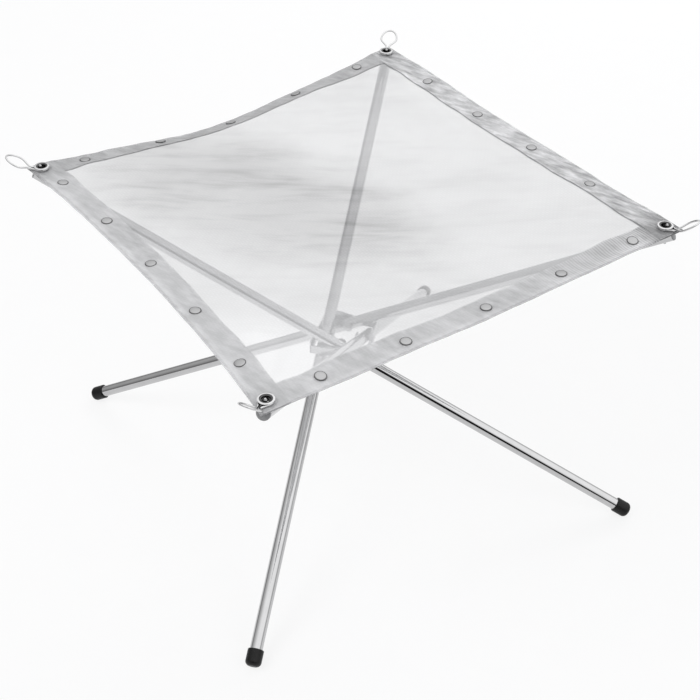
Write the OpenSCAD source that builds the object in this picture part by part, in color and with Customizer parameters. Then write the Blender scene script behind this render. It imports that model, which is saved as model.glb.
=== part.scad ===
// Folding camp fire pit. A square of woven steel mesh hangs by eyelets at its four
// corners on pegs at the tops of four tubes. The tubes cross in a square hub ring,
// each riveted inside its own wall, and fold upright into a bundle.
// Each tube leans in an upright plane beside the middle: the left tube in front of it,
// the back tube to its left, the right tube behind it and the front tube to its right.

/* [Mesh] */
// Side of the mesh square, edge to edge
mesh_side = 420; // [380:5:480]
// Thickness of the mesh sheet
sheet_t = 0.3; // [0.2:0.1:0.6]
// Width of the folded hem
hem_w = 25; // [20:1:32]
// Thickness of one leaf of the hem
hem_leaf = 0.3; // [0.2:0.1:0.6]
// Extra depth of the sheet's middle below its edges
mesh_sag = 6; // [0:1:16]
// Inward bow of the slack left back edge
left_back_bow = 9; // [0:1:20]
// Inward bow of the slack left front edge
left_front_bow = 12; // [0:1:20]
// Drop of the four edges at mid length
edge_sag = 2.5; // [0:0.5:8]
// Height of the soft ripples across the sheet
ripple_h = 2.5; // [0:0.5:4]
// Ripples between the front corner and the back corner
ripple_n = 8; // [3:1:10]
// Rivets along each hem
hem_rivet_n = 5; // [3:1:7]
// Diameter of a hem rivet's head
hem_rivet_d = 10; // [7:0.5:12]

/* [Corner eyelets] */
// From an eyelet's centre to the corner's tip
eyelet_inset = 15; // [13:0.5:20]
// Diameter of an eyelet's flanges
eyelet_d = 14; // [13:0.5:16]
// Diameter of an eyelet's hole
eyelet_hole_d = 7.2; // [6.4:0.2:8]

/* [Pull rings] */
// Diameter of the ring's wire
wire_d = 1.8; // [1.4:0.1:2.2]
// From the eyelet's centre to the ring's tip, along the ring
ring_len = 35; // [32:1:44]
// Width of the ring's loop
ring_w = 18; // [15:1:24]

/* [Tubes] */
// Outside diameter of a tube
tube_d = 11.5; // [9:0.5:12]
// Wall of a tube
tube_wall = 1; // [0.8:0.1:1.5]
// Slope of the tubes when the frame stands open
leg_angle = 27.5; // [24:0.5:34]
// From the middle of the frame to the end of a foot, along the floor
foot_reach = 288; // [250:2:320]
// Distance of each tube's plane from the middle of the hub
tube_offset = 18.5; // [17:0.5:24]
// Sideways swing of the back tube in its pivot, which takes its corner to the left
back_swing = 2; // [0:0.5:3]
// Diameter of a peg
peg_d = 3; // [2.6:0.1:3.4]

/* [Feet] */
// Outside diameter of a rubber foot
foot_d = 14.5; // [13.5:0.5:17]
// Length of a rubber foot
foot_len = 15; // [13:1:24]

/* [Hub] */
// Thickness of the hub's sheet metal
hub_wall = 1.5; // [1:0.1:2.5]
// Diameter of a pivot rivet's shank
rivet_d = 4; // [3:0.5:5]

/* [Hidden] */
$fn = 64;

// Clearances
running_gap = 0.05;
press_gap = 0.02;
leaf_gap = 0.25;
seat_gap = 0.05;
ring_gap = 0.3;
part_gap = 0.4;
stop_gap = 0.35;

// Quarter turns from the left leg to each of the others
LEFT = 0;
BACK = 1;
RIGHT = 2;
FRONT = 3;
// Sideways swing of each leg in its pivot
LEG_SWING = [0, back_swing, 0, 0];

// Tubes: lengths are counted along a tube from its pivot
tube_r = tube_d / 2;
bore_r = tube_r - tube_wall;
foot_round = 0.3 * foot_d;
foot_sole = 3;
foot_flat = 0.9;
foot_end = foot_reach / cos(leg_angle);
tube_low = foot_end - foot_sole;
peg_out = (eyelet_hole_d - peg_d) / 2 - 0.6;
eyelet_x = sqrt(pow(mesh_side / sqrt(2) - eyelet_inset, 2) - tube_offset * tube_offset);
peg_x = eyelet_x + peg_out;
peg_land = 1.2;
tube_top = peg_x / cos(leg_angle) + tube_r * tan(leg_angle) + peg_d / 2 / cos(leg_angle) + peg_land;
plug_flange = 1.5;
plug_in = 16;
leg_top = tube_top + plug_flange;

// Cells across the sheet and along a hem
sheet_n = 20;
hem_steps = 20;

// Heights: the feet stand on the floor at zero
foot_drop = (foot_d / 2 - foot_round) * cos(leg_angle) + foot_round - foot_flat;
hub_z = (foot_end - foot_round) * sin(leg_angle) + foot_drop;
// The tube's top end is cut level round the peg, as a seat for the eyelet
seat_z = hub_z + (peg_x - peg_d / 2 - peg_land) * tan(leg_angle) + tube_r / cos(leg_angle);
eyelet_z = seat_z + part_gap;
flange_t = 0.9;
barrel_r = eyelet_hole_d / 2 + 0.8;
leaf_in = sheet_t / 2 + leaf_gap;
leaf_out = leaf_in + hem_leaf;
// The hem drops a little inside a corner, and stays clear of the lower flange there
seat_drop = edge_drop(2 / sheet_n - 1, 2 / sheet_n - 1);
mesh_z = eyelet_z + flange_t + seat_gap + seat_drop + leaf_out;
ring_z = mesh_z + leaf_out + ring_gap + wire_d / 2;
eyelet_top = ring_z + wire_d / 2 + ring_gap + flange_t;
peg_tip = 1;
peg_top = eyelet_top + peg_tip;

// Hub: the ring's walls stop each tube where it lies on their edges
swing_room = (tube_offset + tube_d) * sin(back_swing);
hub_half = tube_offset + tube_r + part_gap + swing_room + hub_wall;
hub_h = (hub_half - hub_wall) * tan(leg_angle) - (tube_r + stop_gap) / cos(leg_angle);
hub_low = 0.4 * hub_h;
rivet_head_d = rivet_d + 3.6;
washer_d = rivet_d + 5;
washer_t = 0.8;
washer_gap = 0.5;

// Mesh: a and b run from -1 to 1 across the sheet
half = mesh_side / 2;
mesh_turn = atan2(tube_offset, eyelet_x) - 45;
hem_share = hem_w / half;
eyelet_ab = eyelet_inset / sqrt(2);
fold_in = 0.2 / hem_w;
fold_out = (0.2 + hem_leaf) / hem_w;
mitre = 0.998;
// Shift of each hem's rivets along it, counted as t, and how near its ends they may come
RIVET_SHIFT = [0.03, -0.15, 0, -0.05];
rivet_reach = 0.88;
// The swung tube moves the back corner, where a is -1 and b is 1
back_shift = turned(eyelet_x * [1 - cos(back_swing), -sin(back_swing)], -90 * BACK - mesh_turn);

// Rings
eye_r = barrel_r + ring_gap + wire_d / 2;
neck_x = eyelet_d / 2 + 3.5;
neck_y = wire_d / 2 + 0.5;
loop_r = ring_w / 2 - wire_d / 2;
tip_x = ring_len - wire_d / 2;
wide_x = (neck_x + tip_x) / 2;
bend_x = eyelet_d / 2 + wire_d / 2 + part_gap;
bend_r = 5;
ring_sides = 10;
// How each loose ring lies: its turn round the eyelet, from straight outward, and its upward tilt
RING_TURN = [16, 4, -20, -16];
RING_TILT = [30, 20, 38, 42];

function bump(t) = 1 - t * t;
function level(t) = bump(t) * bump(t);
function turned(v, angle) = [v[0] * cos(angle) - v[1] * sin(angle), v[0] * sin(angle) + v[1] * cos(angle)];

// Plan position of a point of the sheet, in the mesh's own turned frame
function back_share(a, b) = (1 - a) * (1 + b) / 4;
function plan_x(a, b) = half * a + bump(b) * left_back_bow * (1 - a) / 2 + back_shift[0] * back_share(a, b);
function plan_y(a, b) = half * b + bump(a) * left_front_bow * (1 - b) / 2 + back_shift[1] * back_share(a, b);

// Height of the sheet's middle plane: edge drop, sag and ripples, all level at the corners
function edge_drop(a, b) = edge_sag * (level(a) + level(b));
function ripple(a, b) = ripple_h * level(a) * level(b) * sin(180 * ripple_n * (b - a) / 2);
function sheet_z(a, b) = ripple(a, b) - edge_drop(a, b) - mesh_sag * level(a) * level(b);
function on_sheet(a, b, lift) = [plan_x(a, b), plan_y(a, b), sheet_z(a, b) + lift];

// A point of a hem: side 0 to 3 in quarter turns from the front right, t along it,
// f across it from the outer edge (0) to the inner edge (1)
function hem_ab(side, t, f) =
    let (g = 1 - hem_share * f)
    side == 0 ? [g, t * g] : side == 1 ? [-t * g, g] : side == 2 ? [-g, -t * g] : [t * g, -g];
function on_hem(side, t, f, lift) =
    let (ab = hem_ab(side, t, f))
    on_sheet(ab[0], ab[1], lift);

function unit(v) = v / norm(v);

// Places its children in the frame of one leg, which the left leg shares with the object
module for_leg(turns) {
    rotate([0, 0, -90 * turns]) children();
}

// The same frame, swung round the leg's pivot with the leg
module for_swung_leg(turns) {
    for_leg(turns) translate([0, -tube_offset, 0]) rotate([0, 0, LEG_SWING[turns]])
        translate([0, tube_offset, 0]) children();
}

// Runs +X down a tube to its foot, from the pivot
module along_tube() {
    translate([0, -tube_offset, hub_z]) rotate([0, leg_angle, 0]) children();
}

module peg_line() {
    translate([-peg_x, -tube_offset, 0]) children();
}

module eyelet_line(turns) {
    for_swung_leg(turns) translate([-eyelet_x, -tube_offset, 0]) children();
}

// What is cut from a tube's end and its plug: the peg's hole and all above the level seat
module peg_seat() {
    peg_line() {
        translate([0, 0, seat_z - 40]) cylinder(h = 60, r = peg_d / 2 + press_gap);
        translate([-2 * tube_d, -tube_d, seat_z]) cube([4 * tube_d, 2 * tube_d, tube_d]);
    }
}

module mesh_frame() {
    translate([0, 0, mesh_z]) rotate([0, 0, mesh_turn]) children();
}

// Hub wall with its stop for the next tube at the right end, seen from outside
module hub_wall_plate() {
    translate([0, -hub_half + hub_wall, hub_z]) rotate([90, 0, 0]) linear_extrude(hub_wall)
        difference() {
            polygon([
                [-hub_half, -hub_h], [hub_half, -hub_h], [hub_half, hub_h],
                [0.35 * hub_half, hub_h], [-0.3 * hub_half, hub_low], [-hub_half, hub_low]
            ]);
            circle(r = rivet_d / 2 + press_gap);
        }
}

module hub_ring() {
    color([0.72, 0.73, 0.74]) for (k = [0:3]) for_leg(k) hub_wall_plate();
}

// Pivot rivet: outer head on the wall, shank through the tube, formed head on its washer
module pivot_rivet() {
    inner = tube_offset - tube_r - washer_gap - washer_t - press_gap;
    translate([0, -inner, hub_z]) rotate([90, 0, 0]) union() {
        cylinder(h = hub_half - inner + 0.5, r = rivet_d / 2);
        translate([0, 0, hub_half - inner + press_gap]) {
            cylinder(h = 0.8, r = rivet_head_d / 2);
            translate([0, 0, 0.8]) cylinder(h = 0.8, r1 = rivet_head_d / 2, r2 = rivet_d / 2);
        }
        translate([0, 0, -0.7]) cylinder(h = 0.7, r = rivet_head_d / 2 - 0.4);
        translate([0, 0, -1.4]) cylinder(h = 0.7, r1 = rivet_d / 2 - 0.4, r2 = rivet_head_d / 2 - 0.4);
    }
}

module pivot_rivets() {
    color([0.62, 0.63, 0.64]) for (k = [0:3]) for_leg(k) pivot_rivet();
}

module pivot_washer() {
    translate([0, -(tube_offset - tube_r - washer_gap - washer_t), hub_z]) rotate([90, 0, 0]) difference() {
        cylinder(h = washer_t, r = washer_d / 2);
        translate([0, 0, -1]) cylinder(h = washer_t + 2, r = rivet_d / 2 + press_gap);
    }
}

module pivot_washers() {
    color([0.68, 0.69, 0.7]) for (k = [0:3]) for_leg(k) pivot_washer();
}

module tube(turns) {
    color([0.8, 0.81, 0.82]) difference() {
        for_swung_leg(turns) difference() {
            along_tube() translate([-tube_top, 0, 0]) rotate([0, 90, 0]) difference() {
                cylinder(h = tube_top + tube_low, r = tube_r);
                translate([0, 0, -1]) cylinder(h = tube_top + tube_low + 2, r = bore_r);
            }
            peg_seat();
        }
        for_leg(turns) translate([0, -tube_offset, hub_z]) rotate([90, 0, 0])
            cylinder(h = 2 * tube_d, r = rivet_d / 2 + running_gap, center = true);
    }
}

// Rubber foot: a closed sleeve with a rounded sole, worn flat where it stands
module foot(turns) {
    color([0.06, 0.06, 0.06]) for_swung_leg(turns) difference() {
        along_tube() translate([foot_end - foot_len, 0, 0]) rotate([0, 90, 0]) difference() {
            rotate_extrude() union() {
                square([foot_d / 2 - foot_round, foot_len]);
                translate([0, 0.6]) square([foot_d / 2, foot_len - foot_round - 0.6]);
                polygon([[0, 0], [foot_d / 2 - 0.6, 0], [foot_d / 2, 0.6], [0, 0.6]]);
                intersection() {
                    translate([foot_d / 2 - foot_round, foot_len - foot_round]) circle(r = foot_round);
                    square([foot_d, foot_len + 1]);
                }
            }
            translate([0, 0, -1]) cylinder(h = foot_len - foot_sole + 1, r = tube_r + press_gap);
        }
        translate([0, 0, -50]) cube([4 * foot_reach, 4 * foot_reach, 100], center = true);
    }
}

// Plug that closes a tube's top end and holds the peg
module plug(turns) {
    color([0.1, 0.1, 0.11]) for_swung_leg(turns) difference() {
        along_tube() translate([-leg_top, 0, 0]) rotate([0, 90, 0]) union() {
            cylinder(h = 0.6, r1 = tube_r - 0.6, r2 = tube_r);
            translate([0, 0, 0.6]) cylinder(h = plug_flange - 0.6 - press_gap, r = tube_r);
            cylinder(h = plug_flange + plug_in, r = bore_r - press_gap);
        }
        peg_seat();
    }
}

// Upright peg through the tube's end and its plug, with a rounded tip above the eyelet
module peg(turns) {
    axis_z = hub_z + peg_x * tan(leg_angle);
    base_z = axis_z - tube_r / cos(leg_angle) - 0.8;
    color([0.35, 0.36, 0.37]) for_swung_leg(turns) peg_line() rotate_extrude() polygon([
        [0, base_z], [peg_d / 2, base_z], [peg_d / 2, peg_top - peg_tip],
        [peg_d / 2 - 0.7, peg_top], [0, peg_top]
    ]);
}

// Closed sheet over a square grid of points
module mesh_sheet() {
    n = sheet_n;
    row = n + 1;
    count = row * row;
    points = [for (side = [1, -1], j = [0:n], i = [0:n])
        on_sheet(2 * i / n - 1, 2 * j / n - 1, side * sheet_t / 2)];
    cells = [for (j = [0:n - 1], i = [0:n - 1]) j * row + i];
    rim = concat(
        [for (i = [0:n - 1]) i], [for (j = [0:n - 1]) j * row + n],
        [for (i = [n:-1:1]) n * row + i], [for (j = [n:-1:1]) j * row]
    );
    faces = concat(
        [for (c = cells) [c, c + row, c + row + 1]], [for (c = cells) [c, c + row + 1, c + 1]],
        [for (c = cells) [count + c, count + c + row + 1, count + c + row]],
        [for (c = cells) [count + c, count + c + 1, count + c + row + 1]],
        [for (k = [0:len(rim) - 1]) let (p = rim[k], q = rim[(k + 1) % len(rim)]) [p, q, count + q]],
        [for (k = [0:len(rim) - 1]) let (p = rim[k], q = rim[(k + 1) % len(rim)]) [p, count + q, count + p]]
    );
    color([0.86, 0.86, 0.87]) difference() {
        mesh_frame() polyhedron(points, faces);
        eyelet_holes();
    }
}

module eyelet_holes() {
    for (k = [0:3]) eyelet_line(k) translate([0, 0, mesh_z - 20]) cylinder(h = 40, r = barrel_r + 0.1);
}

// Hem: a strip folded over the sheet's edge, mitred at the corners
module hem(side) {
    profile = [
        [-fold_out, leaf_out], [1, leaf_out], [1, leaf_in], [-fold_in, leaf_in],
        [-fold_in, -leaf_in], [1, -leaf_in], [1, -leaf_out], [-fold_out, -leaf_out]
    ];
    m = len(profile);
    points = [for (k = [0:hem_steps], p = profile) on_hem(side, mitre * (2 * k / hem_steps - 1), p[0], p[1])];
    last = hem_steps * m;
    cap = [[0, 1, 2], [0, 2, 3], [0, 3, 4], [0, 4, 7], [7, 4, 5], [7, 5, 6]];
    faces = concat(
        [for (k = [0:hem_steps - 1], i = [0:m - 1])
            [k * m + i, (k + 1) * m + (i + 1) % m, k * m + (i + 1) % m]],
        [for (k = [0:hem_steps - 1], i = [0:m - 1])
            [k * m + i, (k + 1) * m + i, (k + 1) * m + (i + 1) % m]],
        [for (f = cap) f],
        [for (f = cap) [last + f[0], last + f[2], last + f[1]]]
    );
    color([0.7, 0.7, 0.71]) difference() {
        mesh_frame() polyhedron(points, faces);
        eyelet_holes();
    }
}

// Flat two-headed rivets along the middle of a hem, square to the sheet
module hem_rivets(side) {
    step = 0.01;
    head = 0.8;
    head_r = hem_rivet_d / 2;
    seat = leaf_out + 0.05;
    places = [for (k = [0:hem_rivet_n - 1]) (2 * k + 1) / hem_rivet_n - 1 + RIVET_SHIFT[side]];
    color([0.78, 0.78, 0.79]) mesh_frame() for (t = places) if (abs(t) < rivet_reach) {
        c = on_hem(side, t, 0.5, 0);
        ab = hem_ab(side, t, 0.5);
        du = on_sheet(ab[0] + step, ab[1], 0) - on_sheet(ab[0] - step, ab[1], 0);
        dv = on_sheet(ab[0], ab[1] + step, 0) - on_sheet(ab[0], ab[1] - step, 0);
        n = unit(cross(du, dv));
        translate(c) rotate([0, acos(n[2]), atan2(n[1], n[0])]) {
            translate([0, 0, -leaf_out - 0.1]) cylinder(h = 2 * leaf_out + 0.2, r = 0.22 * hem_rivet_d);
            translate([0, 0, seat]) cylinder(h = head, r1 = head_r, r2 = head_r - 0.5);
            translate([0, 0, -seat - head]) cylinder(h = head, r1 = head_r - 0.5, r2 = head_r);
        }
    }
}

// Eyelet: a barrel between two flanges, with room for the ring's eye under the upper one
module eyelet(turns) {
    r = eyelet_d / 2;
    color([0.66, 0.67, 0.68]) eyelet_line(turns) difference() {
        union() {
            translate([0, 0, eyelet_z]) cylinder(h = flange_t, r1 = r - 0.3, r2 = r);
            translate([0, 0, eyelet_z]) cylinder(h = eyelet_top - eyelet_z, r = barrel_r);
            translate([0, 0, eyelet_top - flange_t]) cylinder(h = flange_t, r1 = r, r2 = r - 0.5);
        }
        translate([0, 0, eyelet_z - 1]) cylinder(h = eyelet_top - eyelet_z + 2, r = eyelet_hole_d / 2);
    }
}

// Pull ring: one closed loop of wire, with an eye round the eyelet's barrel, a pinched neck
// and a loop that is tilted up
function ring_bend(s, tilt) =
    let (g = min(max((s - bend_x) / bend_r * 180 / PI, 0), tilt), d = s - bend_r * g * PI / 180)
    s < bend_x ? [s, 0, 0]
    : [
        bend_x + bend_r * sin(g) + (d - bend_x) * cos(g),
        bend_r * (1 - cos(g)) + (d - bend_x) * sin(g),
        g
    ];

function curve(p, q, r, s, u) =
    let (v = 1 - u)
    v * v * v * p + 3 * v * v * u * q + 3 * v * u * u * r + u * u * u * s;

function mirrored(points) = [for (k = [len(points) - 1:-1:0]) [points[k][0], -points[k][1]]];

function ring_flat() =
    let (
        from = 60,
        neck = [neck_x, neck_y],
        wide = [wide_x, loop_r],
        start = eye_r * [cos(from), -sin(from)],
        eye = [for (k = [0:14]) let (g = from + k * (360 - 2 * from) / 14) eye_r * [cos(g), sin(g)]],
        pinch = [for (k = [1:5]) curve(start, start + 3 * [sin(from), cos(from)], [neck_x - 3, -neck_y],
            [neck_x, -neck_y], k / 5)],
        spread = [for (k = [1:7])
            let (p = curve(neck, neck + [4, 0], wide - [5, 0], wide, k / 7)) [p[0], -p[1]]],
        tip = [for (k = [1:11]) let (g = -90 + k * 15) [wide_x + (tip_x - wide_x) * cos(g), loop_r * sin(g)]],
        out = concat(pinch, spread)
    )
    concat(eye, out, tip, mirrored(out));

module ring(turns) {
    flat = ring_flat();
    n = len(flat);
    m = ring_sides;
    bent = [for (p = flat) ring_bend(p[0], RING_TILT[turns])];
    path = [for (k = [0:n - 1]) [bent[k][0], flat[k][1], bent[k][1]]];
    points = [for (k = [0:n - 1])
        let (
            ahead = unit(path[(k + 1) % n] - path[(k + n - 1) % n]),
            side = unit(cross(ahead, [-sin(bent[k][2]), 0, cos(bent[k][2])])),
            up = cross(side, ahead)
        )
        for (i = [0:m - 1]) path[k] + wire_d / 2 * (cos(360 * i / m) * side + sin(360 * i / m) * up)];
    faces = concat(
        [for (k = [0:n - 1], i = [0:m - 1])
            [k * m + i, ((k + 1) % n) * m + i, ((k + 1) % n) * m + (i + 1) % m]],
        [for (k = [0:n - 1], i = [0:m - 1])
            [k * m + i, ((k + 1) % n) * m + (i + 1) % m, k * m + (i + 1) % m]]
    );
    color([0.82, 0.83, 0.84]) eyelet_line(turns)
        translate([0, 0, ring_z]) rotate([0, 0, 180 + RING_TURN[turns]]) polyhedron(points, faces);
}

hub_ring();
pivot_rivets();
pivot_washers();
tube(LEFT);  // tube_left
tube(BACK);  // tube_back
tube(RIGHT);  // tube_right
tube(FRONT);  // tube_front
foot(LEFT);  // foot_left
foot(BACK);  // foot_back
foot(RIGHT);  // foot_right
foot(FRONT);  // foot_front
plug(LEFT);  // plug_left
plug(BACK);  // plug_back
plug(RIGHT);  // plug_right
plug(FRONT);  // plug_front
peg(LEFT);  // peg_left
peg(BACK);  // peg_back
peg(RIGHT);  // peg_right
peg(FRONT);  // peg_front
mesh_sheet();
hem(0);  // hem_front_right
hem(1);  // hem_back_right
hem(2);  // hem_left_back
hem(3);  // hem_left_front
hem_rivets(0);  // hem_rivets_front_right
hem_rivets(1);  // hem_rivets_back_right
hem_rivets(2);  // hem_rivets_left_back
hem_rivets(3);  // hem_rivets_left_front
eyelet(LEFT);  // eyelet_left
eyelet(BACK);  // eyelet_back
eyelet(RIGHT);  // eyelet_right
eyelet(FRONT);  // eyelet_front
ring(LEFT);  // ring_left
ring(BACK);  // ring_back
ring(RIGHT);  // ring_right
ring(FRONT);  // ring_front
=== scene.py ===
"""Looks of the folding fire pit: woven mesh, hems, eyelets, pull rings, tubes, hub and feet."""
import math

import bpy
from mathutils import Matrix, Vector, noise


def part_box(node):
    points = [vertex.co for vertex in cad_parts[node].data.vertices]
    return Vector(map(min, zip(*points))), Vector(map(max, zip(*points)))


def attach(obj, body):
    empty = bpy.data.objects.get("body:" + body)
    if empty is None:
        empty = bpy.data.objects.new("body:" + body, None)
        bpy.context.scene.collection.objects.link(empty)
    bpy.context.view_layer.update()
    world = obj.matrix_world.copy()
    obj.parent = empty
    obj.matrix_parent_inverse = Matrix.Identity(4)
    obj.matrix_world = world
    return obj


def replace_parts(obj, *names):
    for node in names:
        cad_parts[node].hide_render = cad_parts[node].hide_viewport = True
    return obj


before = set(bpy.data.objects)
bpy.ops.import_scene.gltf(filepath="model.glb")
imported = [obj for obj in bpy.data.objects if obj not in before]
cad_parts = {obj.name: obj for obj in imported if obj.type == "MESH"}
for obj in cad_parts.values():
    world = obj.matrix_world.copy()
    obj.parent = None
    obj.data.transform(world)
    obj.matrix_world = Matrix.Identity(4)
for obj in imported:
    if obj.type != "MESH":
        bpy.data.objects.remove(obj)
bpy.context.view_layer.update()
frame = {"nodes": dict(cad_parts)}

MM = 0.001
CORNERS = ("left", "back", "right", "front")
SIDES = ("front_right", "back_right", "left_back", "left_front")
BACK = CORNERS.index("back")


def span(node):
    """Middle and half size of a node's box, in millimetres."""
    low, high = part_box(node)
    return (low + high) / 2 / MM, (high - low) / 2 / MM


# Sizes of the frame, in millimetres, and the rings' angles in degrees; what differs by corner is in
# the order of CORNERS
eyelet_middle, eyelet_half = span("eyelet_left")
EYELET_OUT = -eyelet_middle.x
TUBE_ASIDE = -eyelet_middle.y
EYELET_HIGH = eyelet_middle.z - eyelet_half.z
EYELET_TALL = 2 * eyelet_half.z
EYELET_R = eyelet_half.x
EYELET_HOLE = 3.6
BARREL_R = EYELET_HOLE + 0.8
FLANGE = 0.9
WIRE_R = 0.9
RING_GAP = 0.3
RING_HIGH = EYELET_HIGH + EYELET_TALL - FLANGE - RING_GAP - WIRE_R
RING_SWINGS = (16, 4, -20, -16)
RING_TILTS = (30, 20, 38, 42)
hub_middle, hub_half = span("hub_ring")
HUB_HIGH = hub_middle.z
HUB_HALF = hub_half.x
HUB_HALF_TALL = hub_half.z
HUB_SHEET = 1.5
WASHER_THICK = 0.8
PRESS_GAP = 0.02
PIN_INSIDE = span("pivot_washers")[1].x - WASHER_THICK - PRESS_GAP
LEG_SLOPE = math.radians(27.5)
LEG_SWINGS = (0, math.radians(2), 0, 0)

# Sizes of the mesh panel, in millimetres or as shares of its size; what differs by hem is in the order
# of SIDES
HALF = 210
HEM_WIDE = 25
INNER = 1 - HEM_WIDE / HALF
SHEET_THICK = 0.3
LEFT_BACK_BOW = 9
LEFT_FRONT_BOW = 12
EDGE_SAG = 2.5
SAG = 6
RIPPLE = 2.5
RIPPLES = 8
PUCKER = 0.6
WANDER = 1.5
CORNER_FOLD = 1.1
EDGE_DIP = 6
HEM_ROLL = 8
HEM_TUCKS = (0, 0, 0.12, 0)
HEM_LAYERS = (0.36, 0.64, 0.36, 0.64)
LEAF = 0.2
LOOSE = 0.28
RIVETS = 5
RIVET_SHIFTS = (0.03, -0.15, 0, -0.05)
RIVET_REACH = 0.88
RIVETS_ACROSS = (0.5, 0.5, 0.4, 0.5)
mesh_middle, mesh_half = span("mesh_sheet")
MESH_HIGH = mesh_middle.z + mesh_half.z - SHEET_THICK / 2
MESH_ANGLE = math.atan2(TUBE_ASIDE, EYELET_OUT) - math.pi / 4
PANEL = Matrix.Translation((0, 0, MESH_HIGH * MM)) @ Matrix.Rotation(MESH_ANGLE, 4, "Z")
back_swing = LEG_SWINGS[BACK]
back_way = Matrix.Rotation(-math.pi / 2 * BACK - MESH_ANGLE, 2)
BACK_SHIFT = EYELET_OUT * (back_way @ Vector((1 - math.cos(back_swing), -math.sin(back_swing))))


# Modelling helpers

def clear_selection():
    if bpy.context.mode != "OBJECT":
        bpy.ops.object.mode_set(mode="OBJECT")
    bpy.ops.object.select_all(action="DESELECT")


def only(piece):
    """Selects one piece and nothing else."""
    clear_selection()
    piece.select_set(True)
    bpy.context.view_layer.objects.active = piece


def finished(piece, name, angle=35):
    """Names a piece, puts its place in its mesh and rounds its shading."""
    only(piece)
    piece.name = piece.data.name = name
    bpy.ops.object.transform_apply(location=True, rotation=True, scale=True)
    bpy.ops.object.shade_smooth_by_angle(angle=math.radians(angle))
    return piece


def turned(name, rings, steps, closed=False):
    """A turned piece on the Z axis: a circle drawn out through rings of (radius, height)."""
    clear_selection()
    start_r, start_z = rings[0]
    bpy.ops.mesh.primitive_circle_add(vertices=steps, radius=start_r * MM, location=(0, 0, start_z * MM))
    piece = bpy.context.object
    bpy.ops.object.transform_apply(location=True)
    bpy.ops.object.mode_set(mode="EDIT")
    bpy.ops.mesh.select_all(action="SELECT")
    if not closed:
        bpy.ops.mesh.edge_face_add()
        bpy.ops.mesh.select_all(action="SELECT")
    for (r0, z0), (r1, z1) in zip(rings, rings[1:]):
        bpy.ops.mesh.extrude_region_move(TRANSFORM_OT_translate={"value": (0, 0, (z1 - z0) * MM)})
        bpy.ops.transform.resize(value=(r1 / r0, r1 / r0, 1), center_override=(0, 0, z1 * MM))
    bpy.ops.mesh.select_all(action="SELECT")
    bpy.ops.mesh.remove_doubles(threshold=1e-7)
    bpy.ops.mesh.normals_make_consistent(inside=False)
    bpy.ops.object.mode_set(mode="OBJECT")
    return finished(piece, name)


def copy_of(piece, name, place):
    """A copy with its own mesh, moved there in its mesh."""
    other = piece.copy()
    other.data = piece.data.copy()
    other.name = other.data.name = name
    other.data.transform(place)
    bpy.context.scene.collection.objects.link(other)
    return other


def joined(pieces, name):
    """One piece made of several."""
    only(pieces[0])
    for piece in pieces:
        piece.select_set(True)
    bpy.ops.object.join()
    pieces[0].name = pieces[0].data.name = name
    return pieces[0]


def discard(piece):
    bpy.data.objects.remove(piece)


def quarter(turns):
    """The place of a leg, in quarter turns from the left leg."""
    return Matrix.Rotation(-turns * math.pi / 2, 4, "Z")


def at_eyelet(turns, height):
    """The place of an eyelet, on its leg as it swings in its pivot."""
    pivot = Matrix.Translation((0, -TUBE_ASIDE * MM, 0))
    out = Matrix.Translation(Vector((-EYELET_OUT, 0, height)) * MM)
    return quarter(turns) @ pivot @ Matrix.Rotation(LEG_SWINGS[turns], 4, "Z") @ out


# Materials

class Value:
    """A shader socket that takes part in sums; each sum adds its Math node."""

    def __init__(self, nodes, socket):
        self.nodes, self.socket = nodes, socket

    def math(self, operation, *others):
        return self.nodes.node("ShaderNodeMath", {"operation": operation}, dict(enumerate(others)))

    def __add__(self, other):
        return self.math("ADD", self, other)

    def __sub__(self, other):
        return self.math("SUBTRACT", self, other)

    def __rsub__(self, other):
        return self.math("SUBTRACT", other, self)

    def __mul__(self, other):
        return self.math("MULTIPLY", self, other)

    __radd__, __rmul__ = __add__, __mul__

    def wave(self, period):
        """1 on each line and 0 half way between lines."""
        return self.math("COSINE", self * (2 * math.pi / period)) * 0.5 + 0.5

    def smooth(self, low, high):
        """0 below low, 1 above high, and smooth between them."""
        return self.nodes.node("ShaderNodeMapRange", {"interpolation_type": "SMOOTHSTEP"},
                               {"Value": self, "From Min": low, "From Max": high})

    def also(self, output):
        """Another output of the same node."""
        return Value(self.nodes, self.socket.node.outputs[output])


class Nodes:
    """A node tree that grows by one method."""

    def __init__(self, tree):
        self.tree = tree

    def node(self, kind, settings=None, inputs=None, output=0):
        made = self.tree.nodes.new(kind)
        for key, value in (settings or {}).items():
            if key == "stops":
                for stop, (at, tone) in zip(made.color_ramp.elements, value):
                    stop.position, stop.color = at, (*tone, 1)
            else:
                setattr(made, key, value)
        for key, value in (inputs or {}).items():
            self.feed(made.inputs[key], value)
        return Value(self, made.outputs[output])

    def feed(self, socket, value):
        if isinstance(value, Value):
            self.tree.links.new(value.socket, socket)
        else:
            socket.default_value = value

    def split(self, vector):
        x = self.node("ShaderNodeSeparateXYZ", None, {0: vector})
        return x, x.also(1), x.also(2)

    def mixed_shader(self, amount, first, second):
        return self.node("ShaderNodeMixShader", None, {0: amount, 1: first, 2: second})


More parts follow.
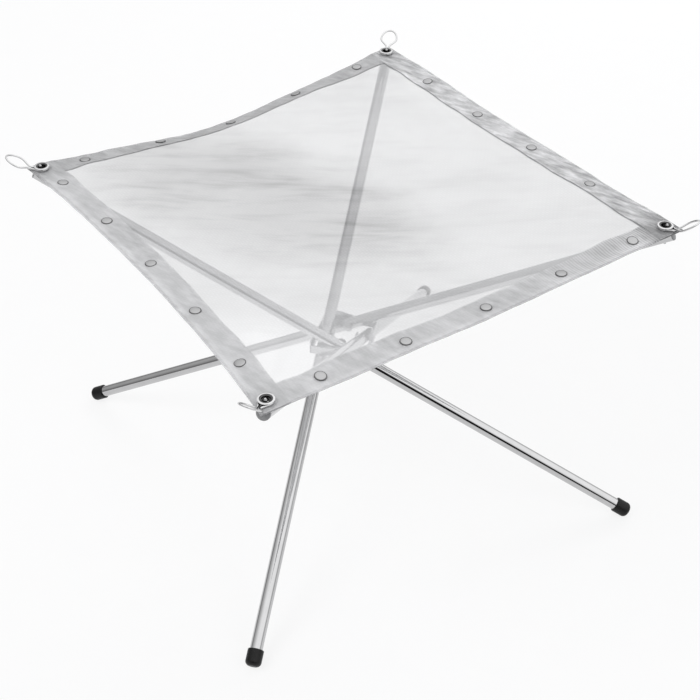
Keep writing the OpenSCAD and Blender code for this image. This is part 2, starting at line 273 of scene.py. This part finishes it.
class Finish(Nodes):
    """One procedural material on a Principled shader."""

    def __init__(self, name, **constants):
        self.material = bpy.data.materials.new(name)
        self.material.use_nodes = True
        super().__init__(self.material.node_tree)
        self.set(constants)

    def set(self, sockets):
        shader = self.tree.nodes["Principled BSDF"]
        for key, value in sockets.items():
            self.feed(shader.inputs[key], value)

    def place(self, turn=(0, 0, 0), scale=(1, 1, 1), source="Object"):
        """Where a point of the piece is, turned and then stretched for a pattern."""
        where = self.node("ShaderNodeTexCoord", output=source)
        if any(turn):
            where = self.node("ShaderNodeMapping", None, {"Vector": where, "Rotation": turn})
        return self.node("ShaderNodeMapping", None, {"Vector": where, "Scale": scale})

    def speckle(self, where, scale, detail, rough):
        return self.node("ShaderNodeTexNoise", None,
                         {"Vector": where, "Scale": scale, "Detail": detail, "Roughness": rough})

    def tone(self, amount, low, high, start=0.0, end=1.0):
        """A grey from an amount: low at start, high at end."""
        stops = [(at, (grey, grey, grey * 1.01)) for at, grey in ((start, low), (end, high))]
        return self.node("ShaderNodeValToRGB", {"stops": stops}, {"Fac": amount})

    def relief(self, height, distance, strength):
        return self.node("ShaderNodeBump", None,
                         {"Height": height, "Distance": distance, "Strength": strength})


def dress(piece, finish):
    """Gives a piece one finish all over."""
    piece.data.materials.clear()
    piece.data.materials.append(finish.material)
    return piece


def drawn_steel(name, turn, stretch, light, dull):
    """Bright drawn steel: fine lines along the piece, faint smears and a few duller patches."""
    f = Finish(name, Metallic=1.0)
    lines = f.speckle(f.place(turn, stretch), 1.0, 4, 0.6)
    smear = f.speckle(f.place(), 55, 3, 0.55)
    dust = f.speckle(f.place(), 900, 2, 0.6)
    f.set({
        "Base Color": f.tone(lines * 0.6 + smear * 0.4, light * 0.86, light * 1.08, 0.3, 0.7),
        "Roughness": lines * 0.04 + smear.smooth(0.45, 0.75) * 0.05 + dust * 0.02 + (dull - 0.04),
        "Normal": f.relief(lines, 0.00002, 0.2),
    })
    return f


def satin_steel(name, light, dull, grain=700):
    """Satin steel: a fine grain with smears and small scratches."""
    f = Finish(name, Metallic=1.0)
    grains = f.speckle(f.place(), grain, 3, 0.6)
    smear = f.speckle(f.place(), 90, 3, 0.55)
    scratch = f.speckle(f.place((0.4, 0.3, 0.8), (60, 2200, 900)), 1.0, 2, 0.5).smooth(0.62, 0.7)
    f.set({
        "Base Color": f.tone(grains * 0.5 + smear * 0.5, light * 0.88, light * 1.1, 0.3, 0.7),
        "Roughness": grains * 0.1 + smear.smooth(0.4, 0.7) * 0.08 + scratch * 0.12 + (dull - 0.1),
        "Normal": f.relief(grains - scratch * 0.6, 0.00003, 0.3),
    })
    return f


def moulded(name, dark, light):
    """Moulded rubber or plastic: a fine pebble, a mould bloom and scuffs near the floor."""
    f = Finish(name, **{"Specular IOR Level": 0.25})
    pebble = f.speckle(f.place(), 1500, 3, 0.6)
    bloom = f.speckle(f.place(), 160, 3, 0.5)
    high = f.split(f.place())[2]
    scuff = (1 - high.smooth(0.0004, 0.004)) * f.speckle(f.place(), 600, 3, 0.6).smooth(0.4, 0.7)
    f.set({
        "Base Color": f.tone(bloom * 0.4 + pebble * 0.2 + scuff * 0.5, dark, light, 0.2, 0.95),
        "Roughness": bloom * 0.2 + scuff * 0.2 + 0.3,
        "Normal": f.relief(pebble, 0.00005, 0.35),
    })
    return f


# Spacing of the drawn weave's wires, and the length that 1 in UV stands for, in millimetres
PITCH = 2.6
UV_MM = 2 * HALF


def weave(f):
    """Places along and across the cloth in millimetres, and how high its crossed wires stand."""
    along, across, _ = f.split(f.place(scale=(UV_MM, UV_MM, 1), source="UV"))
    weft, warp = along.wave(PITCH), across.wave(PITCH)
    over = (along.wave(2 * PITCH) - 0.5) * (across.wave(2 * PITCH) - 0.5)
    return along, across, weft * 0.35 + warp * 0.35 + over * 0.6 + 0.15


def sheet_weave():
    """Fine woven wire, see-through, with painted shade in soft creases from left to right and in a valley,
    and a painted sheen that makes the front paler.
    """
    f = Finish("sheet_weave", Metallic=0.2, **{"Specular IOR Level": 0.3})
    along, across, crown = weave(f)
    uneven = f.speckle(f.place(), 14, 4, 0.6)
    # Painted shade: two noises stretched from left to right darken the cloth in streaks where its creases and
    # ripples would be in shade, and make it a little less see-through there.
    crease_shade = f.speckle(f.place((0, 0, -0.2), (4.5, 26, 1)), 1.0, 3, 0.55).smooth(0.48, 0.76)
    fine = f.speckle(f.place((0, 0, -0.25), (13, 75, 1)), 1.0, 3, 0.55).smooth(0.45, 0.75)
    # Painted sheen: toward the front corner the cloth is lighter and more see-through.
    front_sheen = (along - across).smooth(0.58 * UV_MM, 0.76 * UV_MM)
    # Painted shade: a broad darker patch just left of the middle, where the sagging sheet turns from the
    # light.
    x, y, _ = f.split(f.place())
    valley_x, slant_cos, slant_sin = -0.09, 0.95, 0.31
    right_of_valley = x - valley_x
    down_fold = right_of_valley * slant_cos - y * slant_sin
    over_fold = right_of_valley * slant_sin + y * slant_cos
    away = down_fold * down_fold * 26 + over_fold * over_fold * 100 + (uneven - 0.5) * 0.6
    valley = 1 - away.smooth(-0.1, 1.3)
    amount = 0.72 + (uneven - 0.5) * 0.22 + (crown - 0.5) * 0.04
    shade = valley * (0.36 + crease_shade * 0.36 + fine * 0.1)
    amount = amount + front_sheen * 0.35 - shade - crease_shade * 0.06 - fine * 0.08
    f.set({
        "Base Color": f.tone(amount, 0.18, 0.8),
        "Roughness": 0.62 - crown * 0.12,
        "Alpha": 0.59 + crown * 0.02 + crease_shade * 0.04 + fine * 0.02 - front_sheen * 0.07,
        "Normal": f.relief(crown, 0.00025, 0.12),
    })
    return f


def hem_weave(name, light, wrinkles, doubled_and_shade, strip=0.0, ribs=0.0):
    """The cloth of a hem: patches, slanting wrinkles with painted light and shade, corners darker where hems
    overlap (more cloth, and painted shade), a lighter edge strip and ribs.
    """
    f = Finish(name, Metallic=0.2, **{"Specular IOR Level": 0.3})
    along, across, crown = weave(f)
    patch = f.speckle(f.place(), 22, 3, 0.6)
    # Painted light and shade: this noise lightens and darkens the colour along slanting wrinkles, and also
    # gives them their bump.
    wrinkle_and_shade = f.speckle(f.place((0, 0, 0.4), (60, 210, 1)), 1.0, 4, 0.6)
    wander = f.speckle(f.place(), 60, 2, 0.5) * 8
    rib = (along.wave(PITCH) - 0.5) * along.smooth(0.55 * UV_MM, 0.9 * UV_MM)
    corner, past_corner = HEM_WIDE - 6, HEM_WIDE + 20
    first = 1 - along.smooth(corner, past_corner)
    last = along.smooth(UV_MM - past_corner, UV_MM - corner)
    edge = (1 - (across + wander).smooth(9, 11.5)) * (1 - first) * (1 - last)
    frayed = 1 - (across + wander * 0.3).smooth(1, 4.5)
    amount = 0.5 + (patch - 0.5) * 0.7 + (wrinkle_and_shade - 0.5) * wrinkles + rib * ribs + edge * strip
    # Where hems overlap at the corners the cloth is darker: partly its extra layers, partly painted shade.
    amount = amount - first * doubled_and_shade[0] - last * doubled_and_shade[1]
    f.set({
        "Base Color": f.tone(amount, light * 0.58, light * 1.42),
        "Roughness": 0.62 - crown * 0.1,
        "Alpha": 0.68 + crown * 0.04 - edge * strip * 0.4 - frayed * 0.3,
        "Normal": f.relief(crown * 0.2 + rib * ribs + wrinkle_and_shade * 2, 0.0003, 0.35),
    })
    return f


# The mesh panel's shape

def bump(t):
    """1 in the middle and 0 at both ends."""
    return 1 - t * t


def level(t):
    """1 in the middle and 0 at both ends, where it runs out level."""
    return bump(t) ** 2


def fade(x, low, high):
    """0 below low, 1 above high, and smooth between them."""
    t = min(1, max(0, (x - low) / (high - low)))
    return t * t * (3 - 2 * t)


def soft(x, y, size, seed):
    """Smooth noise of about -1 to 1 over the sheet."""
    return noise.noise(Vector((x / size, y / size, seed)))


def hem_roll(a, b):
    """How far the left back hem is turned down: most at its outer edge, none at its ends."""
    out = min(1, max(0, (-a - INNER) / (1 - INNER)))
    return out * max(0, 1 - (b / INNER) ** 4)


def sheet_point(a, b, lift=0.0):
    """A point of the hung sheet, a and b from -1 to 1; lift is above its middle plane."""
    share = (1 - a) * (1 + b) / 4
    x = HALF * a + bump(b) * LEFT_BACK_BOW * (1 - a) / 2 + BACK_SHIFT.x * share
    y = HALF * b + bump(a) * LEFT_FRONT_BOW * (1 - b) / 2 + BACK_SHIFT.y * share
    free = level(a) * level(b)
    along, across = (a + b) / 2, (b - a) / 2
    broken = 0.8 + 1.1 * soft(along * HALF, across * 2 * HALF, 70, 3.1)
    wave = math.sin(math.pi * RIPPLES * across + 1.6 * soft(along * HALF, across * HALF, 110, 8.4))
    near = min(1 - abs(a), 1 - abs(b)) * HALF
    far = math.hypot(1 - abs(a), 1 - abs(b)) * HALF
    pucker = PUCKER * fade(far, 26, 70) * (1 - fade(near, 26, 75)) * soft(x, y, 17, 5.2)
    wander = WANDER * fade(far, 40, 130) * soft(x, y, 80, 1.7)
    angle = math.atan2(1 - abs(b), 1 - abs(a)) - math.pi / 4
    fold = CORNER_FOLD * fade(far, 30, 60) * (1 - fade(far, 90, 190)) * math.sin(13 * angle + 2 * a + b)
    dip_middle, dip_half = -0.08, 0.6
    dip = EDGE_DIP * fade(-a, 0.5, 1) * level(min(1, abs(b - dip_middle) / dip_half))
    drop = EDGE_SAG * (level(a) + level(b)) + SAG * free + HEM_ROLL * hem_roll(a, b) + dip
    return Vector((x, y, RIPPLE * free * broken * wave + pucker + wander + fold - drop + lift))


def sheet_frame(a, b):
    """Origin, and a turn that sets Z square to the sheet, at a point of it."""
    step = 0.012
    du = sheet_point(a + step, b) - sheet_point(a - step, b)
    dv = sheet_point(a, b + step) - sheet_point(a, b - step)
    square = du.cross(dv).normalized().to_track_quat("Z", "Y").to_matrix().to_4x4()
    return Matrix.Translation(sheet_point(a, b) * MM) @ square


def open_eyelets(piece):
    """Cuts the cloth away round the eyelets' barrels, under their flanges."""
    reach = 5.6
    spots = [(PANEL.inverted() @ at_eyelet(turns, 0)).translation.xy for turns in range(4)]
    only(piece)
    bpy.ops.object.mode_set(mode="EDIT")
    bpy.ops.mesh.select_all(action="DESELECT")
    bpy.ops.object.mode_set(mode="OBJECT")
    for face in piece.data.polygons:
        face.select = any((face.center.xy - spot).length < reach * MM for spot in spots)
    bpy.ops.object.mode_set(mode="EDIT")
    bpy.ops.mesh.delete(type="FACE")
    bpy.ops.object.mode_set(mode="OBJECT")


def grid(across, along):
    """A flat grid from -1 to 1 both ways."""
    clear_selection()
    bpy.ops.mesh.primitive_grid_add(x_subdivisions=across, y_subdivisions=along, size=2)
    return bpy.context.object


def mesh_sheet():
    """The sheet, which ends just inside the hems' folds."""
    piece = grid(150, 150)
    inside = 0.999
    for v in piece.data.vertices:
        v.co = sheet_point(v.co.x * inside, v.co.y * inside) * MM
    open_eyelets(piece)
    piece.data.transform(PANEL)
    return finished(piece, "woven_sheet", 180)


def hem_ab(side, t, f):
    """A point of a hem: t along it, f across it from the outer edge (0) to the inner edge (1)."""
    g = 1 - HEM_WIDE / HALF * f
    return [(g, t), (-t, g), (-g, -t), (t, -g)][side]


def hem(side):
    """A strip folded over the edge: the upper leaf, the fold and the lower leaf, through the corners."""
    piece = grid(24, 170)
    layer, fold, inside = HEM_LAYERS[side], 0.12, 0.9995
    places = []
    for v in piece.data.vertices:
        s, t = v.co.x, v.co.y * inside
        if abs(s) > fold:
            f, out = (abs(s) - fold) / (1 - fold), 0.0
            lift = math.copysign(layer, s)
        else:
            f, out = 0.0, 0.8 * layer * math.cos(s / fold * math.pi / 2)
            lift = layer * math.sin(s / fold * math.pi / 2)
        f *= 1 - HEM_TUCKS[side] * (1 - t ** 4)
        places.append((f, t))
        free = fade(1 - abs(t), 0.06, 0.14)
        waver = 0.05 * free * f * soft(t * HALF, side * 60, 32, 6.3)
        a, b = hem_ab(side, t, f + waver - out / HEM_WIDE)
        loose = LOOSE * free * (0.4 + soft(t * HALF, f * HEM_WIDE + side * 90, 9, 2.2 + s))
        v.co = sheet_point(a, b, lift + (loose if s > 0 else -abs(loose) * 0.5)) * MM
    uv = piece.data.uv_layers.active.data
    for loop in piece.data.loops:
        f, t = places[loop.vertex_index]
        uv[loop.index].uv = ((t + 1) * HALF / UV_MM, f * HEM_WIDE / UV_MM)
    open_eyelets(piece)
    solid = piece.modifiers.new("leaf", "SOLIDIFY")
    solid.thickness, solid.offset = LEAF * MM, 0
    only(piece)
    bpy.ops.object.modifier_apply(modifier=solid.name)
    piece.data.transform(PANEL)
    return finished(piece, "folded_hem_" + SIDES[side], 50)


def button_pair():
    """A two-headed rivet: flat heads, each with a painted shadow round its edge."""
    r, seat, top = 5.0, 0.6, 1.5
    groove, shade_from = r - 0.8, r - 0.7
    head = turned("head", [
        (r - 0.3, seat), (r, seat + 0.12), (r, top - 0.45), (r - 0.15, top - 0.25), (r - 0.45, top - 0.16),
        (groove, top - 0.2), (groove - 0.2, top - 0.28), (groove - 0.45, top - 0.16),
        (0.52 * r, top - 0.05), (0.24 * r, top - 0.01), (0.2, top),
    ], 40)
    for steel in (button_steel, rim_shade_steel):
        head.data.materials.append(steel.material)
    # Painted shadow: the outer edge of each head takes the dark copy of the steel.
    for face in head.data.polygons:
        if math.hypot(face.center.x, face.center.y) > shade_from * MM:
            face.material_index = 1
    return joined([head, copy_of(head, "under", Matrix.Rotation(math.pi, 4, "X"))], "button")


def hem_rivet_heads(button, side):
    """The rivets along a hem, each square to the cloth."""
    made = []
    for k in range(RIVETS):
        t = (2 * k + 1) / RIVETS - 1 + RIVET_SHIFTS[side]
        if abs(t) < RIVET_REACH:
            a, b = hem_ab(side, t * (1 + INNER) / 2, RIVETS_ACROSS[side])
            made.append(copy_of(button, "button", PANEL @ sheet_frame(a, b)))
    return joined(made, "buttons_" + SIDES[side])


def rolled_eyelet():
    """An eyelet on the Z axis: a barrel with a rolled flange at each end, and painted shade in its bore and
    on the inner slopes of its flanges.
    """
    tall, hole, barrel, r = EYELET_TALL, EYELET_HOLE, BARREL_R, EYELET_R
    low, high, shade_to = FLANGE, EYELET_TALL - FLANGE, EYELET_HOLE + 1.5
    piece = turned("eyelet", [
        (hole, 0.35), (hole + 0.15, 0.05), (hole + 0.6, 0), (r - 0.8, 0), (r - 0.2, 0.15), (r, 0.45),
        (r - 0.15, 0.8), (r - 0.5, low), (barrel + 0.2, low), (barrel, low + 0.2), (barrel, high - 0.2),
        (barrel + 0.2, high), (r - 0.6, high), (r - 0.15, high + 0.15), (r, tall - 0.45),
        (r - 0.2, tall - 0.15), (r - 0.7, tall - 0.01), (hole + 1.7, tall), (hole + 0.8, tall - 0.12),
        (hole + 0.1, tall - 0.45), (hole, tall - 0.7), (hole, 0.35),
    ], 56, closed=True)
    for steel in (eyelet_steel, bore_shade_steel):
        piece.data.materials.append(steel.material)
    # Painted shade: faces near the hole take the dark copy of the eyelet steel.
    for face in piece.data.polygons:
        if math.hypot(face.center.x, face.center.y) < shade_to * MM:
            face.material_index = 1
    return piece


def bezier(p, q, r, s, steps):
    """Points of a curve from p to s, without p."""
    p, q, r, s = (Vector(point) for point in (p, q, r, s))
    points = []
    for k in range(1, steps + 1):
        u = k / steps
        v = 1 - u
        points.append(v ** 3 * p + 3 * v ** 2 * u * q + 3 * v * u * u * r + u ** 3 * s)
    return points


def ring_outline():
    """The pull ring laid flat: an eye round the eyelet's barrel, a pinched neck and an oval loop."""
    eye, start = BARREL_R + RING_GAP + WIRE_R, math.radians(60)
    neck, neck_y = EYELET_R + 3.5, WIRE_R + 0.5
    loop, tip = 8.1, 34.1
    wide = (neck + tip) / 2
    turn = 2 * math.pi - 2 * start
    eye_steps, end_steps = 28, 24
    angles = [start + k * turn / eye_steps for k in range(eye_steps + 1)]
    points = [eye * Vector((math.cos(g), math.sin(g))) for g in angles]
    leave = Vector((math.sin(start), math.cos(start)))
    way = bezier(points[-1], points[-1] + 3 * leave, (neck - 3, -neck_y), (neck, -neck_y), 8)
    way += bezier((neck, -neck_y), (neck + 4, -neck_y), (wide - 5, -loop), (wide, -loop), 12)
    angles = [math.pi * (k / end_steps - 0.5) for k in range(1, end_steps)]
    end = [Vector((wide + (tip - wide) * math.cos(g), loop * math.sin(g))) for g in angles]
    return points + way + end + [Vector((p.x, -p.y)) for p in reversed(way)]


def lifted(s, tilt):
    """How far out and up a point of the flat ring comes, s from the eyelet, when its loop is bent up."""
    radius, start = 5.0, EYELET_R + WIRE_R + 0.4
    angle = min(tilt, max(0, (s - start) / radius))
    rest = s - start - radius * angle
    x = start + radius * math.sin(angle) + rest * math.cos(angle)
    return x, radius * (1 - math.cos(angle)) + max(0, rest) * math.sin(angle)


def pull_ring(turns):
    """One closed loop of wire, turned round its eyelet and bent up."""
    line = bpy.data.curves.new("wire", "CURVE")
    line.dimensions, line.bevel_depth, line.bevel_resolution = "3D", WIRE_R * MM, 5
    spline = line.splines.new("POLY")
    outline = ring_outline()
    spline.points.add(len(outline) - 1)
    for point, flat in zip(spline.points, outline):
        x, z = lifted(flat.x, math.radians(RING_TILTS[turns]))
        point.co = (x * MM, flat.y * MM, z * MM, 1)
    spline.use_cyclic_u = True
    wire = bpy.data.objects.new("wire", line)
    bpy.context.scene.collection.objects.link(wire)
    only(wire)
    bpy.ops.object.convert(target="MESH")
    wire = bpy.context.object
    swing = Matrix.Rotation(math.pi + math.radians(RING_SWINGS[turns]), 4, "Z")
    wire.data.transform(at_eyelet(turns, RING_HIGH) @ swing)
    return finished(wire, "pull_ring_" + CORNERS[turns], 60)


def hub_wall():
    """One wall of the hub: a plate with its stop at one end, its edges rounded."""
    half, high, low = HUB_HALF, HUB_HALF_TALL, 0.4 * HUB_HALF_TALL
    outline = [(-half, -high), (half, -high), (half, high),
               (0.35 * half, high), (-0.3 * half, low), (-half, low)]
    clear_selection()
    bpy.ops.mesh.primitive_circle_add(vertices=len(outline), radius=half * MM, fill_type="NGON")
    piece = bpy.context.object
    order = sorted(piece.data.vertices, key=lambda v: math.atan2(v.co.y, v.co.x))
    outline.sort(key=lambda p: math.atan2(p[1], p[0]))
    for v, (x, z) in zip(order, outline):
        v.co = Vector((x, -half, HUB_HIGH + z)) * MM
    bpy.ops.object.mode_set(mode="EDIT")
    bpy.ops.mesh.select_all(action="SELECT")
    bpy.ops.mesh.extrude_region_move(TRANSFORM_OT_translate={"value": (0, HUB_SHEET * MM, 0)})
    bpy.ops.mesh.select_all(action="SELECT")
    bpy.ops.mesh.normals_make_consistent(inside=False)
    bpy.ops.mesh.bevel(offset=0.35 * MM, segments=3, affect="EDGES")
    bpy.ops.object.mode_set(mode="OBJECT")
    return finished(piece, "hub_wall", 40)


def domed_pin():
    """A pivot rivet on the Z axis: a formed head, its shank and a domed head outside the wall."""
    shank, formed, domed = 2, 3.4, 3.8
    seat = HUB_HALF - PIN_INSIDE + PRESS_GAP
    return turned("pin", [
        (0.3, -1.4), (1.2, -1.36), (formed - 1.2, -1.18), (formed - 0.4, -0.8), (formed - 0.05, -0.4),
        (formed, 0), (shank, PRESS_GAP), (shank, seat), (domed - 0.05, seat + PRESS_GAP), (domed, seat + 0.5),
        (domed - 0.4, seat + 1.0), (domed - 1.2, seat + 1.4), (1.4, seat + 1.6), (0.3, seat + 1.62),
    ], 40)


# Finishes

hub_steel = satin_steel("hub_sheet_steel", 0.5, 0.26)
rivet_steel = satin_steel("rivet_steel", 0.48, 0.26, 1400)
button_steel = satin_steel("button_steel", 0.48, 0.5, 1800)
# A shaded copy of the button steel, for the painted shadow round the rivet heads.
rim_shade_steel = satin_steel("button_rim_shade", 0.16, 0.5, 1800)
eyelet_steel = satin_steel("eyelet_steel", 0.62, 0.14, 1600)
# A shaded copy of the eyelet steel, for the painted shade in the bores.
bore_shade_steel = satin_steel("eyelet_bore_shade", 0.09, 0.3, 1600)
wire_steel = drawn_steel("wire_steel", (0, 0, 0.6), (900, 900, 900), 0.66, 0.1)
foot_rubber = moulded("foot_rubber", 0.004, 0.02)
plug_finish = moulded("plug_plastic", 0.25, 0.45)
# The four hems are one cloth; the lightness given to each, above all the darker left back hem, is painted
# light and shade.
HEM_FINISHES = (
    hem_weave("hem_weave_front_right", 0.655, 0.7, (0, 0.62), 0.14, 0.35),
    hem_weave("hem_weave_back_right", 0.635, 2.2, (0.46, 0.12)),
    hem_weave("hem_weave_left_back", 0.54, 0.9, (0.1, 0.14)),
    hem_weave("hem_weave_left_front", 0.63, 0.7, (0.2, 0), 0.2),
)

# Pieces of the mesh panel

sheet = dress(mesh_sheet(), sheet_weave())
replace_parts(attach(sheet, "mesh_panel"), "mesh_sheet")

button = button_pair()
on_sheet = []
for side, name in enumerate(SIDES):
    strip = dress(hem(side), HEM_FINISHES[side])
    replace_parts(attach(strip, "mesh_panel"), "hem_" + name)
    heads = hem_rivet_heads(button, side)
    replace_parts(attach(heads, "mesh_panel"), "hem_rivets_" + name)
    on_sheet += [strip, heads]
discard(button)

eyelet = rolled_eyelet()
for turns, name in enumerate(CORNERS):
    one = copy_of(eyelet, "rolled_eyelet_" + name, at_eyelet(turns, EYELET_HIGH))
    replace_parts(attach(one, "mesh_panel"), "eyelet_" + name)
    on_sheet.append(one)
    ring = dress(pull_ring(turns), wire_steel)
    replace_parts(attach(ring, "ring_" + name), "ring_" + name)
discard(eyelet)

# Pieces of the frame

wall = hub_wall()
hub = dress(joined([copy_of(wall, "wall", quarter(k)) for k in range(4)], "bent_hub"), hub_steel)
discard(wall)
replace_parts(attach(hub, "hub"), "hub_ring")

pin = domed_pin()
outward = Matrix.Translation(Vector((0, -PIN_INSIDE, HUB_HIGH)) * MM) @ Matrix.Rotation(math.pi / 2, 4, "X")
pins = joined([copy_of(pin, "pin", quarter(k) @ outward) for k in range(4)], "domed_pivots")
dress(pins, rivet_steel)
discard(pin)
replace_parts(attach(pins, "hub"), "pivot_rivets")

nodes = frame["nodes"]
dress(nodes["pivot_washers"], rivet_steel)
lines_along_tube = (6, 2600, 2600)
for turns, name in enumerate(CORNERS):
    leg = Matrix.Rotation(LEG_SWINGS[turns] - turns * math.pi / 2, 3, "Z")
    level_leg = Matrix.Rotation(-LEG_SLOPE, 3, "Y") @ leg.inverted()
    tube_steel = drawn_steel("tube_steel_" + name, level_leg.to_euler(), lines_along_tube, 0.55, 0.07)
    dress(nodes["tube_" + name], tube_steel)
    dress(nodes["foot_" + name], foot_rubber)
    dress(nodes["plug_" + name], plug_finish)
    dress(nodes["peg_" + name], rivet_steel)

# Stage: a pale floor that reaches past low views, soft light and the camera

FLOOR_SIZE = 120


def floor_finish():
    """Pale floor with the object's shadow, white to the eye and in bright metal."""
    f = Finish("floor")
    ray = f.node("ShaderNodeLightPath", output="Is Camera Ray")
    seen = ray + ray.also("Is Glossy Ray") + ray.also("Is Transmission Ray")
    grain = f.speckle(f.place(), 30, 2, 0.5)
    plain = f.node("ShaderNodeBsdfDiffuse", None, {"Color": f.tone(grain, 0.79, 0.81, 0.3, 0.7)})
    glow = f.node("ShaderNodeEmission", None, {"Color": (1, 1, 1, 1), "Strength": 1.0})
    shown = f.mixed_shader(0.84, plain, glow)
    both = f.mixed_shader(ray.math("MINIMUM", seen, 1.0), plain, shown)
    f.feed(f.tree.nodes["Material Output"].inputs["Surface"], both)
    return f


def studio():
    """White to the eye, an even light on the cloth, and for bright metal a room that is lit from the
    upper right, dim along the horizon and dark behind the camera."""
    world = bpy.data.worlds.new("studio")
    world.use_nodes = True
    sky = Nodes(world.node_tree)
    x, y, z = sky.split(sky.node("ShaderNodeTexCoord", output="Generated"))
    upper_right, to_camera = (0.5, 0.35, 0.8), (0.259, -0.903, 0.342)

    def towards(way):
        """How far a direction of the room points that way."""
        return x * way[0] + y * way[1] + z * way[2]

    lit = towards(upper_right).smooth(-0.1, 0.8)
    horizon = z.smooth(0.1, 0.55) * 0.6 + 0.4
    behind_camera = towards(to_camera).smooth(0.935, 0.975)
    brightness = (lit * 0.78 + 0.62) * horizon * (1 - behind_camera * 0.96)
    plain = sky.node("ShaderNodeBackground", None, {"Color": (0.97, 0.98, 1, 1), "Strength": 0.55})
    room = sky.node("ShaderNodeBackground", None, {"Color": (1, 1, 1, 1), "Strength": brightness})
    white = sky.node("ShaderNodeBackground", None, {"Color": (1, 1, 1, 1), "Strength": 1.0})
    ray = sky.node("ShaderNodeLightPath", output="Is Camera Ray")
    unseen = sky.mixed_shader(ray.also("Is Glossy Ray"), plain, room)
    clear = ray.math("MAXIMUM", ray, ray.also("Is Transmission Ray"))
    sky.feed(sky.tree.nodes["World Output"].inputs["Surface"], sky.mixed_shader(clear, unseen, white))
    return world


def softbox(name, place, size, power):
    """A soft lamp aimed at the mesh panel, which doesn't show in bright metal."""
    light = bpy.data.lights.new(name, "AREA")
    light.shape, light.size, light.size_y, light.energy = "RECTANGLE", *size, power
    lamp = bpy.data.objects.new(name, light)
    bpy.context.scene.collection.objects.link(lamp)
    lamp.location = place
    lamp.rotation_euler = (Vector((0, 0, 0.2)) - lamp.location).to_track_quat("-Z", "Y").to_euler()
    lamp.visible_camera = lamp.visible_glossy = False


clear_selection()
bpy.ops.mesh.primitive_plane_add(size=FLOOR_SIZE)
floor = bpy.context.object
floor.name = "floor"
dress(floor, floor_finish())
bpy.context.scene.world = studio()
softbox("key", (-1.3, -0.9, 2.0), (1.6, 1.2), 24)
softbox("fill", (1.7, -0.8, 1.5), (1.4, 1.4), 10)
softbox("back", (0.2, 2.0, 1.4), (2.0, 0.8), 24)

aim = Vector((4.52, 1.24, 135.14)) * MM
distance = 1.3309
lens = bpy.data.cameras.new("camera")
lens.lens, lens.sensor_width = 70.71, 36
camera = bpy.data.objects.new("camera", lens)
bpy.context.scene.collection.objects.link(camera)
yaw, pitch, roll = (math.radians(angle) for angle in (15.491, 38.711, -0.965))
behind = Vector((math.sin(yaw) * math.cos(pitch), -math.cos(yaw) * math.cos(pitch), math.sin(pitch)))
right = Vector((math.cos(yaw), math.sin(yaw), 0))
up = behind.cross(right)
right, up = right * math.cos(roll) + up * math.sin(roll), up * math.cos(roll) - right * math.sin(roll)
spot = aim + behind * distance
camera.matrix_world = Matrix.Translation(spot) @ Matrix((right, up, behind)).transposed().to_4x4()
bpy.context.scene.camera = camera
bpy.context.scene.view_settings.view_transform = "Standard"
